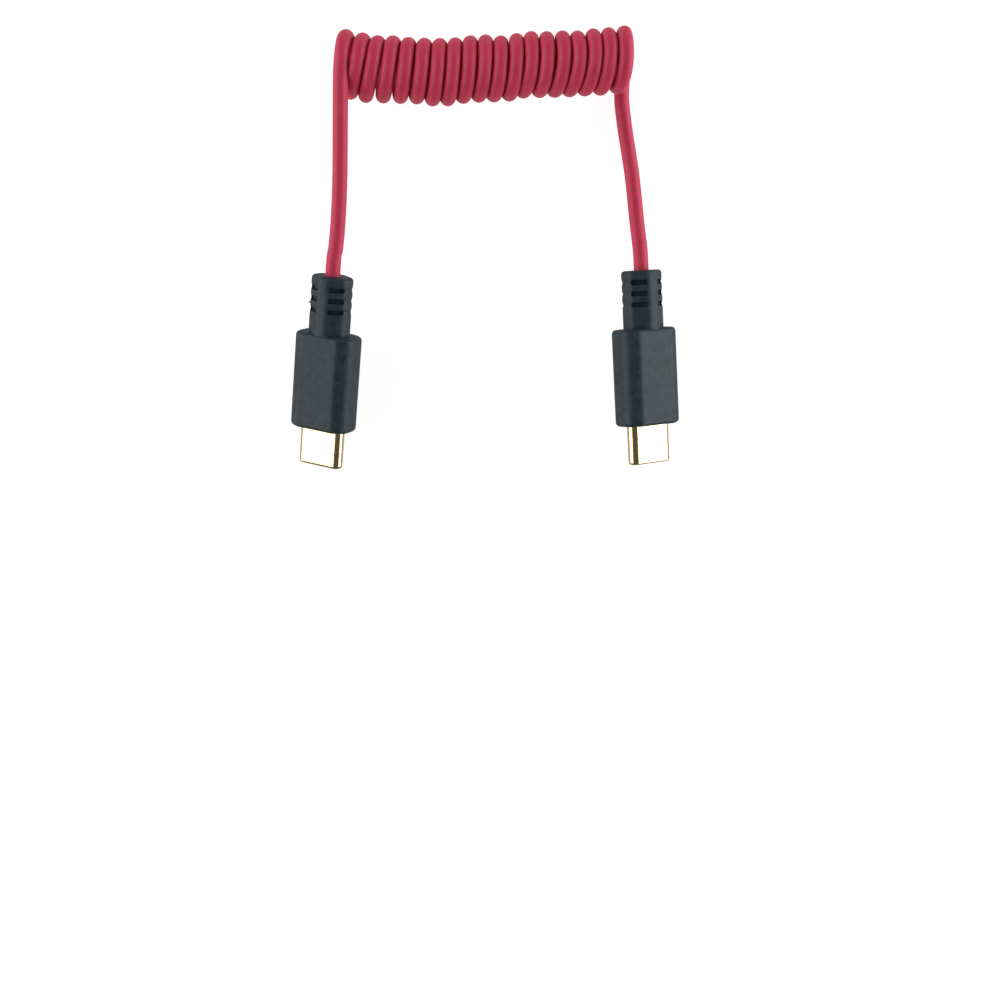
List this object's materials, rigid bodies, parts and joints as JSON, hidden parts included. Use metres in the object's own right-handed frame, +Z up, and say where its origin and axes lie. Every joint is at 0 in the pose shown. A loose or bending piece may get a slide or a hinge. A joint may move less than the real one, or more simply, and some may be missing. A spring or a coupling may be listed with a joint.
{
  "type": "coiled usb c cable",
  "caption": "Short coiled cable with a USB-C plug at each end, the red cord wound in a tight close helix between two straight legs with black moulded plugs.",
  "frame": {"origin": "on the floor, midway between the two plugs, which is the middle of the plugs' bounding box seen from above", "axes": "+X along the coil, from the left plug's side to the right plug's side; +Y from the plugs to the coil; +Z up from the floor that the cable lies on"},
  "size_m": [0.0668, 0.0737, 0.0121],
  "materials": {
    "red_jacket": "satin soft jacket",
    "black_moulding": "fine matte grain",
    "gold_plating": "polished gold plating",
    "black_housing": "satin moulded insulator",
    "latch_steel": "plain stamped steel"
  },
  "bodies": {
    "root": {"coil": "red_jacket", "left_leg": "red_jacket", "right_leg": "red_jacket", "left_moulding": "black_moulding", "right_moulding": "black_moulding", "left_shell": "gold_plating", "right_shell": "gold_plating", "left_housing": "black_housing", "right_housing": "black_housing", "left_upper_contacts": "gold_plating", "left_lower_contacts": "gold_plating", "right_upper_contacts": "gold_plating", "right_lower_contacts": "gold_plating", "left_latch": "latch_steel", "right_latch": "latch_steel"}
  },
  "joints": []
}
